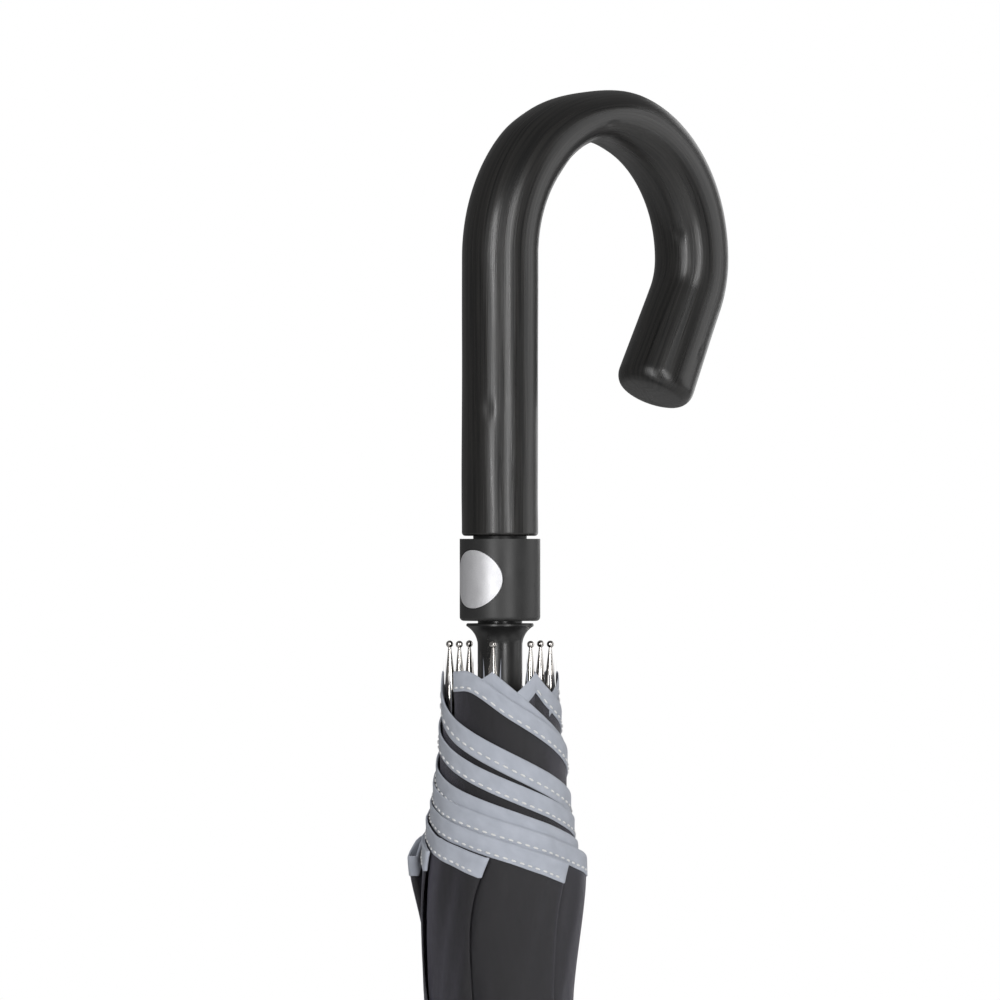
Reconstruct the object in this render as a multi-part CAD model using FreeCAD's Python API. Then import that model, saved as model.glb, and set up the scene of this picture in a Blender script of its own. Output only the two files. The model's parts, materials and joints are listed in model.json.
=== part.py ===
import FreeCAD, Part
import math
import os

# A rolled stick umbrella with a crook handle and a push-button runner.
# Frame: origin in the middle of the ferrule's end face, +Z along the shaft towards
# the handle, the crook in the XZ plane with its hook towards +X, the button facing -X.
# Everything is in millimetres and degrees.

# ---- Linkage ----
RIB_COUNT = 8
FIRST_RIB_AZIMUTH = 35.0
CROWN_HINGE_RADIUS = 8.0
CROWN_HINGE_Z = 80.0
RIB_LENGTH = 575.0
TIP_RADIUS_CLOSED = 17.0
OPEN_TILT = 75.0
STRETCHER_JOINT_ALONG_RIB = 265.0
STRETCHER_JOINT_INSET = 3.2
STRETCHER_LENGTH = 285.0
RUNNER_HINGE_RADIUS = 10.0

# ---- Shaft ----
SHAFT_RADIUS = 5.0
SHAFT_BORE_RADIUS = 4.2
SHAFT_BOTTOM_Z = 46.0
SHAFT_TOP_Z = 785.0

# ---- Ferrule end ----
TIP_CAP_RADIUS = 5.2
TIP_CAP_HEIGHT = 12.0
TIP_CAP_FLOOR = 4.0
TIP_CAP_BEVEL = 0.8
SPIGOT_RADIUS = 3.0
FERRULE_LOW_RADIUS = 4.6
FERRULE_HIGH_RADIUS = 6.4
FERRULE_TOP_Z = 66.0
CAP_RIM_RADIUS = 12.5
CAP_TOP_Z = 74.0
CAP_WALL = 1.2

# ---- Crown ----
CROWN_BOTTOM_Z = 75.0
CROWN_TOP_Z = 86.0
CROWN_FLANGE_RADIUS = 11.0
CROWN_FLANGE_HEIGHT = 1.5
CROWN_RING_RADIUS = 10.0
CROWN_SLOT_FLOOR = 6.0
CROWN_SLOT_WIDTH = 2.5
CROWN_WIRE_RADIUS = 0.6

# ---- Ribs, tips and stretchers ----
RIB_WIDTH = 2.0
RIB_HEIGHT = 3.0
RIB_FLUTE_WIDTH = 1.0
RIB_FLUTE_DEPTH = 2.0
RIB_METAL_LENGTH = 560.0
RIB_EYE_RADIUS = 1.7
EYE_HOLE_RADIUS = 0.75
LUG_WIDTH = 1.0
LUG_RADIUS = 1.5
RIVET_RADIUS = 0.6
RIVET_CLEARANCE = 0.05
RIVET_HEAD_RADIUS = 1.1
RIVET_HEAD_HEIGHT = 0.35
STRETCHER_WIDTH = 2.6
STRETCHER_HEIGHT = 2.4
STRETCHER_EYE_RADIUS = 1.4
FORK_GAP = 1.3
FORK_DEPTH = 7.0
STRETCHER_FLUTE = 1.4
HOOK_LENGTH = 27.0
HOOK_TOP = 1.7
HOOK_UNDERSIDE = 0.65
HOOK_LIP = 1.2
TIP_SOCKET_RADIUS = 1.75
TIP_SOCKET_WALL = 0.4
TIP_SOCKET_START = 554.0
TIP_SOCKET_END = 562.0
TIP_EYE_WIDTH = 0.9
TIP_EYE_START = 563.5
TIP_EYE_END = 567.0
TIP_CONE_RADIUS = 1.5
TIP_NECK_RADIUS = 0.38
TIP_BALL_RADIUS = 1.2
TIP_BALL_ALONG_RIB = 577.3

# ---- Runner ----
RUNNER_BORE_RADIUS = 5.3
RUNNER_NECK_RADIUS = 7.5
RUNNER_RING_RADIUS = 12.2
RUNNER_RING_BELOW_HINGE = 6.0
RUNNER_RING_ABOVE_HINGE = 6.0
RUNNER_SLOT_FLOOR = 7.6
RUNNER_SLOT_WIDTH = 3.2
RUNNER_WIRE_RADIUS = 0.55
FLANGE_RADIUS = 11.3
FLANGE_TOP_Z = 664.2
FLANGE_RIM = 0.9
FLANGE_EDGE = 0.3
FLARE_TURN = 60.0
FLARE_STEPS = 16
SLEEVE_RADIUS = 7.45
SLEEVE_TOP_Z = 690.0
LATCH_GROOVE_RADIUS = 6.0
LATCH_GROOVE_HEIGHT = 2.4
RUNNER_PIN_Z = 645.0
RUNNER_PIN_RADIUS = 1.0
RUNNER_PIN_HALF_LENGTH = 7.4
RUNNER_PIN_AZIMUTH = 102.5
SHAFT_SLOT_WIDTH = 2.4
SLOT_END_ROOM = 1.4
PUSHER_RADIUS = 3.9
PUSHER_HALF_HEIGHT = 4.0
STOP_RING_RADIUS = 6.6
STOP_RING_HEIGHT = 6.0
STOP_RING_BEVEL = 1.0
STOP_RING_GAP = 0.5

# ---- Opening spring ----
SPRING_WIRE_RADIUS = 0.5
SPRING_COIL_RADIUS = 3.3
SPRING_TURNS = 24
SPRING_END_ROOM = 0.3
SPRING_STOP_Z = 778.0
SPRING_STOP_RADIUS = 1.2
SPRING_STOP_HALF_LENGTH = 4.9

# ---- Collar, button and latch ----
COLLAR_RADIUS = 13.5
COLLAR_BOTTOM_Z = 665.0
COLLAR_TOP_Z = 692.5
COLLAR_EDGE = 1.4
COLLAR_EDGE_STEPS = 6
COLLAR_BORE_RADIUS = 7.75
TENON_RADIUS = 9.0
TENON_HEIGHT = 9.0
BUTTON_Z = 679.0
BUTTON_RADIUS = 9.75
BUTTON_ROOM = 0.25
BUTTON_BACK = 9.1
BUTTON_POCKET_FLOOR = 7.0
LATCH_THICKNESS = 1.6
LATCH_FAR_END = 9.9
LATCH_WINDOW_OFFSET = 1.45
LATCH_SLOT_RADIUS = 12.0
LATCH_SLOT_ROOM = 0.25
BUTTON_SPRING_Y = 6.6
BUTTON_SPRING_Z = 4.4
BUTTON_SPRING_HOLE_RADIUS = 1.5
BUTTON_SPRING_HOLE_FLOOR = 6.1
BUTTON_SPRING_COIL_RADIUS = 1.0
BUTTON_SPRING_WIRE_RADIUS = 0.2
BUTTON_SPRING_TURNS = 4
BUTTON_SPRING_END_ROOM = 0.25

# ---- Crook handle ----
HANDLE_BOTTOM_Z = 693.5
HANDLE_RADIUS = 12.9
HANDLE_COUNTERBORE_RADIUS = 9.2
HANDLE_COUNTERBORE_DEPTH = 9.5
HANDLE_BORE_RADIUS = 5.05
ARCH_RADIUS = 47.6
ARCH_CENTRE_Z = 787.0
ARCH_TOP_THICKNESS = 17.6
ARCH_TOP_BREADTH = 25.0
ARCH_THINNING_POWER = 4
HOOK_LEG_RADIUS = 12.2
NOSE_BEND_RADIUS = 30.0
NOSE_BEND_ANGLE = 27.2
NOSE_LENGTH = 31.0
NOSE_RADIUS = 13.3
NOSE_CAP_LENGTH = 5.0
NOSE_CAP_ANGLE = 80.0
NOSE_CAP_SECTIONS = 4
NOSE_EDGE = 4.5
GRIP_SECTIONS = 4
ARCH_SECTIONS = 8
NOSE_BEND_SECTIONS = 3
NOSE_SECTIONS = 4
OVAL_POINTS = 16

# ---- Rolled canopy ----
GORE_GAP = 0.6
GORE_BOTTOM_Z = 77.0
HEM_Z = 648.0
GORE_ROOM_OVER_RIB = 0.6
GORE_OUTER = [
    (90.0, 14.0),
    (200.0, 17.0),
    (400.0, 22.0),
    (480.0, 23.8),
    (530.0, 25.4),
    (590.0, 27.2),
    (620.0, 24.0),
    (HEM_Z, 20.8),
]
GORE_BOTTOM_OUTER = 13.0
GORE_BOTTOM_INNER = 11.3
GORE_WAIST_Z = 100.0
STRAP_LOW_Z = 486.0
STRAP_HIGH_Z = 512.0
STRAP_INNER_RADIUS = 25.3
STRAP_THICKNESS = 1.2
STRAP_OVERLAP_ANGLE = 46.0
STRAP_AZIMUTH = 100.0
SNAP_RADIUS = 5.5
SNAP_HEIGHT = 1.8

# ---- How far a cutting shape reaches past the surface that it cuts ----
CUT_ROOM = 1.0

ORIGIN = FreeCAD.Vector(0, 0, 0)
Y_AXIS = FreeCAD.Vector(0, 1, 0)
Z_AXIS = FreeCAD.Vector(0, 0, 1)

# ---- Where the linkage stands when closed and when open ----
CLOSED_TILT = math.degrees(math.asin((TIP_RADIUS_CLOSED - CROWN_HINGE_RADIUS) / RIB_LENGTH))


def on_rib(tilt, along, outward):
    """A point given in a rib's own directions, as (radius, height), with the rib tilted."""
    turn = math.radians(tilt)
    radius = CROWN_HINGE_RADIUS + along * math.sin(turn) + outward * math.cos(turn)
    height = CROWN_HINGE_Z + along * math.cos(turn) - outward * math.sin(turn)
    return radius, height


def runner_hinge_height(tilt):
    """Height of the runner's hinge ring that a stretcher reaches with the rib tilted."""
    radius, height = on_rib(tilt, STRETCHER_JOINT_ALONG_RIB, -STRETCHER_JOINT_INSET)
    return height + math.sqrt(STRETCHER_LENGTH ** 2 - (radius - RUNNER_HINGE_RADIUS) ** 2)


RUNNER_HINGE_Z = runner_hinge_height(CLOSED_TILT)
RUNNER_TRAVEL = RUNNER_HINGE_Z - runner_hinge_height(OPEN_TILT)


def point(x, y, z):
    return FreeCAD.Vector(x, y, z)


def save(shape, node):
    """Writes one sub-part, after making sure that it is made of closed solids."""
    shape = shape.removeSplitter()
    if not shape.Solids or not shape.isValid():
        raise ValueError("not a valid solid: " + node)
    shape.exportStep("parts/" + node + ".step")


def lathe(outline, turn=360.0):
    """A turned solid: a closed outline of (radius, height) points, turned about the shaft axis."""
    corners = [point(radius, 0, height) for radius, height in outline]
    return Part.Face(Part.makePolygon(corners + corners[:1])).revolve(ORIGIN, Z_AXIS, turn)


def bar(radius, start, end):
    """A round bar between two points."""
    run = end - start
    return Part.makeCylinder(radius, run.Length, start, run)


def block(low, high):
    """A box between two opposite corners."""
    size = high - low
    return Part.makeBox(size.x, size.y, size.z, low)


def turned(shape, centre, axis, angle):
    """A copy of a shape, turned about an axis through a point."""
    moved = shape.copy()
    moved.rotate(centre, axis, angle)
    return moved


def around(shape, index):
    """A copy of a shape made in the XZ plane, turned to the azimuth of one rib."""
    azimuth = FIRST_RIB_AZIMUTH + index * 360.0 / RIB_COUNT
    return turned(shape, ORIGIN, Z_AXIS, azimuth)


def leaning(shape):
    """A copy of a shape made along an upright rib, leaned out to the closed tilt."""
    hinge = point(CROWN_HINGE_RADIUS, 0, CROWN_HINGE_Z)
    return turned(shape, hinge, Y_AXIS, CLOSED_TILT)


def coil(wire_radius, coil_radius, length, turns):
    """A helical spring standing on the origin."""
    helix = Part.makeHelix(length / turns, length, coil_radius)
    section = Part.Wire(Part.makeCircle(wire_radius, point(coil_radius, 0, 0), Y_AXIS))
    return Part.Solid(Part.Wire(helix).makePipeShell([section], True, True))


def slotted(shape, floor_radius, width, low_z, high_z):
    """Cuts one radial slot for each rib into a ring."""
    outside = 2 * floor_radius
    slot = block(point(floor_radius, -width / 2, low_z), point(outside, width / 2, high_z))
    return shape.cut([around(slot, index) for index in range(RIB_COUNT)])


def shaft_tube():
    """Steel tube with two long slots, in which the runner's cross pin travels."""
    height = SHAFT_TOP_Z - SHAFT_BOTTOM_Z
    tube = Part.makeCylinder(SHAFT_RADIUS, height, point(0, 0, SHAFT_BOTTOM_Z))
    bore = Part.makeCylinder(SHAFT_BORE_RADIUS, height, point(0, 0, SHAFT_BOTTOM_Z))
    low_z = RUNNER_PIN_Z - RUNNER_TRAVEL - SLOT_END_ROOM
    high_z = RUNNER_PIN_Z + SLOT_END_ROOM
    outside = SHAFT_RADIUS + CUT_ROOM
    slot = block(
        point(-outside, -SHAFT_SLOT_WIDTH / 2, low_z),
        point(outside, SHAFT_SLOT_WIDTH / 2, high_z),
    )
    slot = turned(slot, ORIGIN, Z_AXIS, RUNNER_PIN_AZIMUTH)
    return tube.cut([bore, slot, spring_stop_pin()])


def ferrule_tip():
    """Plastic cap on the ferrule's end, which stands on the ground."""
    return lathe([
        (0, 0),
        (TIP_CAP_RADIUS - TIP_CAP_BEVEL, 0),
        (TIP_CAP_RADIUS, TIP_CAP_BEVEL),
        (TIP_CAP_RADIUS, TIP_CAP_HEIGHT),
        (SPIGOT_RADIUS, TIP_CAP_HEIGHT),
        (SPIGOT_RADIUS, TIP_CAP_FLOOR),
        (0, TIP_CAP_FLOOR),
    ])


def ferrule():
    """Turned ferrule, pressed on the shaft's lower end."""
    return lathe([
        (0, TIP_CAP_FLOOR),
        (SPIGOT_RADIUS, TIP_CAP_FLOOR),
        (SPIGOT_RADIUS, TIP_CAP_HEIGHT),
        (FERRULE_LOW_RADIUS, TIP_CAP_HEIGHT),
        (FERRULE_HIGH_RADIUS, FERRULE_TOP_Z - TIP_CAP_HEIGHT),
        (FERRULE_HIGH_RADIUS, FERRULE_TOP_Z),
        (SHAFT_RADIUS, FERRULE_TOP_Z),
        (SHAFT_RADIUS, SHAFT_BOTTOM_Z),
        (0, SHAFT_BOTTOM_Z),
    ])


def ferrule_cap():
    """Shallow metal cup that covers the canopy's apex and clamps it against the crown."""
    return lathe([
        (SHAFT_RADIUS, FERRULE_TOP_Z),
        (FERRULE_HIGH_RADIUS, FERRULE_TOP_Z),
        (CAP_RIM_RADIUS, CAP_TOP_Z - CAP_WALL),
        (CAP_RIM_RADIUS, CAP_TOP_Z),
        (CAP_RIM_RADIUS - CAP_WALL, CAP_TOP_Z),
        (FERRULE_HIGH_RADIUS, FERRULE_TOP_Z + 2 * CAP_WALL),
        (SHAFT_RADIUS, FERRULE_TOP_Z + 2 * CAP_WALL),
    ])


def ring_wire(ring_radius, wire_radius, height):
    return Part.makeTorus(ring_radius, wire_radius, point(0, 0, height))


def crown():
    """Slotted plastic crown on the shaft, in which the ribs' inner ends turn."""
    flange_top = CROWN_BOTTOM_Z + CROWN_FLANGE_HEIGHT
    body = lathe([
        (SHAFT_RADIUS, CROWN_BOTTOM_Z),
        (CROWN_FLANGE_RADIUS, CROWN_BOTTOM_Z),
        (CROWN_FLANGE_RADIUS, flange_top),
        (CROWN_RING_RADIUS, flange_top),
        (CROWN_RING_RADIUS, CROWN_TOP_Z),
        (SHAFT_RADIUS, CROWN_TOP_Z),
    ])
    body = slotted(body, CROWN_SLOT_FLOOR, CROWN_SLOT_WIDTH, flange_top, CROWN_TOP_Z)
    return body.cut(ring_wire(CROWN_HINGE_RADIUS, CROWN_WIRE_RADIUS, CROWN_HINGE_Z))


def rib():
    """Fluted steel rib with an eye at the crown and a lug for its stretcher."""
    low_z = CROWN_HINGE_Z
    middle = CROWN_HINGE_RADIUS
    inner = middle - RIB_HEIGHT / 2
    body = block(
        point(inner, -RIB_WIDTH / 2, low_z),
        point(middle + RIB_HEIGHT / 2, RIB_WIDTH / 2, low_z + RIB_METAL_LENGTH),
    )
    flute = block(
        point(inner, -RIB_FLUTE_WIDTH / 2, low_z + 3 * RIB_EYE_RADIUS),
        point(inner + RIB_FLUTE_DEPTH, RIB_FLUTE_WIDTH / 2, low_z + RIB_METAL_LENGTH),
    )
    eye = bar(RIB_EYE_RADIUS, point(middle, -RIB_WIDTH / 2, low_z), point(middle, RIB_WIDTH / 2, low_z))
    lug_z = low_z + STRETCHER_JOINT_ALONG_RIB
    lug_x = middle - STRETCHER_JOINT_INSET
    lug = bar(LUG_RADIUS, point(lug_x, -LUG_WIDTH / 2, lug_z), point(lug_x, LUG_WIDTH / 2, lug_z))
    web = block(
        point(lug_x, -LUG_WIDTH / 2, lug_z - LUG_RADIUS),
        point(middle + RIB_HEIGHT / 4, LUG_WIDTH / 2, lug_z + LUG_RADIUS),
    )
    hinge_hole = bar(EYE_HOLE_RADIUS, point(middle, -RIB_WIDTH, low_z), point(middle, RIB_WIDTH, low_z))
    rivet_hole = bar(
        RIVET_RADIUS + RIVET_CLEARANCE,
        point(lug_x, -RIB_WIDTH, lug_z),
        point(lug_x, RIB_WIDTH, lug_z),
    )
    return leaning(body.cut(flute).fuse([eye, lug, web]).cut([hinge_hole, rivet_hole]))


def rib_tip():
    """Tapered steel tip on a rib, with a ball end and the eye through which the hem is sewn."""
    start_z = CROWN_HINGE_Z
    ball_z = start_z + TIP_BALL_ALONG_RIB
    outer = TIP_SOCKET_RADIUS + TIP_SOCKET_WALL / 2
    inner = TIP_SOCKET_RADIUS - TIP_SOCKET_WALL / 2
    body = lathe([
        (0, start_z + RIB_METAL_LENGTH),
        (0, ball_z),
        (TIP_NECK_RADIUS, ball_z),
        (TIP_CONE_RADIUS, start_z + TIP_EYE_END),
        (outer, start_z + TIP_SOCKET_END),
        (outer, start_z + TIP_SOCKET_START),
        (inner, start_z + TIP_SOCKET_START),
        (inner, start_z + RIB_METAL_LENGTH),
    ])
    body.translate(point(CROWN_HINGE_RADIUS, 0, 0))
    ball = Part.makeSphere(TIP_BALL_RADIUS, point(CROWN_HINGE_RADIUS, 0, ball_z))
    eye = block(
        point(CROWN_HINGE_RADIUS - TIP_EYE_WIDTH / 2, -RIB_HEIGHT, start_z + TIP_EYE_START),
        point(CROWN_HINGE_RADIUS + TIP_EYE_WIDTH / 2, RIB_HEIGHT, start_z + TIP_EYE_END),
    )
    rib_end = block(
        point(CROWN_HINGE_RADIUS - RIB_HEIGHT / 2, -RIB_WIDTH / 2, start_z),
        point(CROWN_HINGE_RADIUS + RIB_HEIGHT / 2, RIB_WIDTH / 2, start_z + RIB_METAL_LENGTH),
    )
    return leaning(body.fuse(ball).cut([eye, rib_end]))


def stretcher_frame(shape):
    """Sets a shape made along +Z from the origin on the line from rib lug to runner ring."""
    radius, height = on_rib(CLOSED_TILT, STRETCHER_JOINT_ALONG_RIB, -STRETCHER_JOINT_INSET)
    lean = math.degrees(math.asin((RUNNER_HINGE_RADIUS - radius) / STRETCHER_LENGTH))
    moved = turned(shape, ORIGIN, Y_AXIS, lean)
    moved.translate(point(radius, 0, height))
    return moved


def stretcher():
    """Steel stretcher: a fork round the rib's lug and an open hook over the runner's wire."""
    half_width = STRETCHER_WIDTH / 2
    half_height = STRETCHER_HEIGHT / 2
    hook_start = STRETCHER_LENGTH - HOOK_LENGTH
    hook_end = STRETCHER_LENGTH + RUNNER_WIRE_RADIUS + 2 * HOOK_UNDERSIDE
    body = block(point(-half_height, -half_width, 0), point(half_height, half_width, hook_start))
    eye = bar(STRETCHER_EYE_RADIUS, point(0, -half_width, 0), point(0, half_width, 0))
    hook = block(
        point(HOOK_UNDERSIDE, -half_width, hook_start - HOOK_TOP),
        point(HOOK_TOP, half_width, hook_end),
    )
    lip = block(
        point(-HOOK_LIP, -half_width, STRETCHER_LENGTH + RUNNER_WIRE_RADIUS + RIVET_CLEARANCE),
        point(HOOK_TOP, half_width, hook_end),
    )
    flute = block(
        point(-half_height, -STRETCHER_FLUTE / 2, FORK_DEPTH),
        point(-half_height + STRETCHER_FLUTE, STRETCHER_FLUTE / 2, hook_start - STRETCHER_HEIGHT),
    )
    fork = block(
        point(-STRETCHER_HEIGHT, -FORK_GAP / 2, -STRETCHER_HEIGHT),
        point(STRETCHER_HEIGHT, FORK_GAP / 2, FORK_DEPTH),
    )
    rivet_hole = bar(RIVET_RADIUS, point(0, -STRETCHER_WIDTH, 0), point(0, STRETCHER_WIDTH, 0))
    return stretcher_frame(body.fuse([eye, hook, lip]).cut([flute, fork, rivet_hole]))


def stretcher_rivet():
    """Rivet through a stretcher's fork and its rib's lug."""
    half_width = STRETCHER_WIDTH / 2
    ends = half_width + RIVET_HEAD_HEIGHT
    shank = bar(RIVET_RADIUS, point(0, -ends, 0), point(0, ends, 0))
    heads = [
        bar(RIVET_HEAD_RADIUS, point(0, side * half_width, 0), point(0, side * ends, 0))
        for side in (-1, 1)
    ]
    return stretcher_frame(shank.fuse(heads))


def runner():
    """Runner: hinge ring below, grip flange above, and the latch sleeve inside the collar."""
    ring_low = RUNNER_HINGE_Z - RUNNER_RING_BELOW_HINGE
    shelf_z = RUNNER_HINGE_Z - RUNNER_WIRE_RADIUS
    ring_high = RUNNER_HINGE_Z + RUNNER_RING_ABOVE_HINGE
    shoulder = RUNNER_HINGE_RADIUS - 2 * RUNNER_WIRE_RADIUS
    flare_high = FLANGE_TOP_Z - FLANGE_RIM
    flare_turn = math.radians(FLARE_TURN)
    flare_radius = (FLANGE_RADIUS - RUNNER_NECK_RADIUS) / (1 - math.cos(flare_turn))
    outline = [
        (RUNNER_BORE_RADIUS, ring_low),
        (RUNNER_RING_RADIUS - RUNNER_WIRE_RADIUS, ring_low),
        (RUNNER_RING_RADIUS, ring_low + RUNNER_WIRE_RADIUS),
        (RUNNER_RING_RADIUS, shelf_z),
        (shoulder, shelf_z),
        (shoulder, ring_high - RUNNER_WIRE_RADIUS),
        (RUNNER_NECK_RADIUS, ring_high),
    ]
    for step in range(FLARE_STEPS + 1):
        angle = flare_turn * step / FLARE_STEPS
        outline.append((
            RUNNER_NECK_RADIUS + flare_radius * (1 - math.cos(angle)),
            flare_high - flare_radius * (math.sin(flare_turn) - math.sin(angle)),
        ))
    outline += [
        (FLANGE_RADIUS, FLANGE_TOP_Z - FLANGE_EDGE),
        (FLANGE_RADIUS - FLANGE_EDGE, FLANGE_TOP_Z),
        (SLEEVE_RADIUS, FLANGE_TOP_Z),
        (SLEEVE_RADIUS, BUTTON_Z - LATCH_GROOVE_HEIGHT / 2),
        (LATCH_GROOVE_RADIUS, BUTTON_Z - LATCH_GROOVE_HEIGHT / 2),
        (LATCH_GROOVE_RADIUS, BUTTON_Z + LATCH_GROOVE_HEIGHT / 2),
        (SLEEVE_RADIUS, BUTTON_Z + LATCH_GROOVE_HEIGHT / 2),
        (SLEEVE_RADIUS, SLEEVE_TOP_Z),
        (RUNNER_BORE_RADIUS, SLEEVE_TOP_Z),
    ]
    body = slotted(lathe(outline), RUNNER_SLOT_FLOOR, RUNNER_SLOT_WIDTH, ring_low, ring_high)
    return body.cut(runner_pin())


def runner_pin():
    """Cross pin that joins the runner to the spring's pusher through the shaft's slots."""
    pin = bar(
        RUNNER_PIN_RADIUS,
        point(-RUNNER_PIN_HALF_LENGTH, 0, RUNNER_PIN_Z),
        point(RUNNER_PIN_HALF_LENGTH, 0, RUNNER_PIN_Z),
    )
    return turned(pin, ORIGIN, Z_AXIS, RUNNER_PIN_AZIMUTH)


def spring_pusher():
    """Plug inside the shaft that the opening spring pushes down."""
    low = point(0, 0, RUNNER_PIN_Z - PUSHER_HALF_HEIGHT)
    high = point(0, 0, RUNNER_PIN_Z + PUSHER_HALF_HEIGHT)
    return bar(PUSHER_RADIUS, low, high).cut(runner_pin())


def opening_spring():
    """Compression spring in the shaft, between the pusher and the stop pin."""
    low_z = RUNNER_PIN_Z + PUSHER_HALF_HEIGHT + SPRING_WIRE_RADIUS + SPRING_END_ROOM
    high_z = SPRING_STOP_Z - SPRING_STOP_RADIUS - SPRING_WIRE_RADIUS - SPRING_END_ROOM
    spring = coil(SPRING_WIRE_RADIUS, SPRING_COIL_RADIUS, high_z - low_z, SPRING_TURNS)
    spring.translate(point(0, 0, low_z))
    return spring


def spring_stop_pin():
    """Cross pin in the shaft's top that the opening spring stands against."""
    return bar(
        SPRING_STOP_RADIUS,
        point(0, -SPRING_STOP_HALF_LENGTH, SPRING_STOP_Z),
        point(0, SPRING_STOP_HALF_LENGTH, SPRING_STOP_Z),
    )


def open_stop():
    """Ring crimped on the shaft, on which the runner comes to rest when open."""
    high_z = RUNNER_HINGE_Z - RUNNER_RING_BELOW_HINGE - RUNNER_TRAVEL - STOP_RING_GAP
    return lathe([
        (SHAFT_RADIUS, high_z - STOP_RING_HEIGHT),
        (STOP_RING_RADIUS, high_z - STOP_RING_HEIGHT + STOP_RING_BEVEL),
        (STOP_RING_RADIUS, high_z),
        (SHAFT_RADIUS, high_z),
    ])


def along_x(radius, near_x, far_x, y, z):
    return bar(radius, point(near_x, y, z), point(far_x, y, z))


def button_spring_places():
    """The two diagonal places behind the button where its springs stand."""
    return [(side * BUTTON_SPRING_Y, BUTTON_Z + side * BUTTON_SPRING_Z) for side in (-1, 1)]


def handle_collar():
    """Plastic collar under the handle: it houses the button, the latch and the sleeve."""
    outline = [(COLLAR_BORE_RADIUS, COLLAR_BOTTOM_Z)]
    for step in range(COLLAR_EDGE_STEPS + 1):
        angle = math.radians(90.0 * step / COLLAR_EDGE_STEPS)
        outline.append((
            COLLAR_RADIUS - COLLAR_EDGE * (1 - math.sin(angle)),
            COLLAR_BOTTOM_Z + COLLAR_EDGE * (1 - math.cos(angle)),
        ))
    outline += [
        (COLLAR_RADIUS, COLLAR_TOP_Z),
        (TENON_RADIUS, COLLAR_TOP_Z),
        (TENON_RADIUS, COLLAR_TOP_Z + TENON_HEIGHT),
        (SHAFT_RADIUS, COLLAR_TOP_Z + TENON_HEIGHT),
        (SHAFT_RADIUS, COLLAR_TOP_Z - COLLAR_EDGE),
        (COLLAR_BORE_RADIUS, COLLAR_TOP_Z - COLLAR_EDGE),
    ]
    body = lathe(outline)
    outside = COLLAR_RADIUS + CUT_ROOM
    pocket = along_x(BUTTON_RADIUS + BUTTON_ROOM, -outside, -BUTTON_POCKET_FLOOR, 0, BUTTON_Z)
    slot_half = LATCH_THICKNESS / 2 + LATCH_SLOT_ROOM
    latch_slot = bar(
        LATCH_SLOT_RADIUS,
        point(0, 0, BUTTON_Z - slot_half),
        point(0, 0, BUTTON_Z + slot_half),
    )
    spring_holes = [
        along_x(BUTTON_SPRING_HOLE_RADIUS, -BUTTON_BACK, -BUTTON_SPRING_HOLE_FLOOR, y, z)
        for y, z in button_spring_places()
    ]
    return body.cut([pocket, latch_slot] + spring_holes)


def push_button():
    """Round button whose face follows the collar's surface."""
    disc = along_x(BUTTON_RADIUS, -COLLAR_RADIUS - CUT_ROOM, -BUTTON_BACK, 0, BUTTON_Z)
    envelope = Part.makeCylinder(COLLAR_RADIUS, COLLAR_TOP_Z, ORIGIN)
    return disc.common(envelope)


def latch_plate():
    """Sliding plate behind the button: its far edge sits in the sleeve's groove."""
    low_z = BUTTON_Z - LATCH_THICKNESS / 2
    high_z = BUTTON_Z + LATCH_THICKNESS / 2
    plate = Part.makeCylinder(LATCH_FAR_END, LATCH_THICKNESS, point(0, 0, low_z))
    window = Part.makeCylinder(COLLAR_BORE_RADIUS, LATCH_THICKNESS, point(-LATCH_WINDOW_OFFSET, 0, low_z))
    behind_button = block(
        point(-LATCH_FAR_END, -LATCH_FAR_END, low_z),
        point(-BUTTON_BACK, LATCH_FAR_END, high_z),
    )
    return plate.cut([window, behind_button])


def button_spring():
    """Two small compression springs that return the button."""
    length = BUTTON_BACK - BUTTON_SPRING_HOLE_FLOOR - 2 * BUTTON_SPRING_END_ROOM
    springs = []
    for y, z in button_spring_places():
        spring = coil(
            BUTTON_SPRING_WIRE_RADIUS,
            BUTTON_SPRING_COIL_RADIUS,
            length - 2 * BUTTON_SPRING_WIRE_RADIUS,
            BUTTON_SPRING_TURNS,
        )
        spring.rotate(ORIGIN, Y_AXIS, 90)
        start = -BUTTON_BACK + BUTTON_SPRING_END_ROOM + BUTTON_SPRING_WIRE_RADIUS
        spring.translate(point(start, y, z))
        springs.append(spring)
    return Part.makeCompound(springs)


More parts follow.
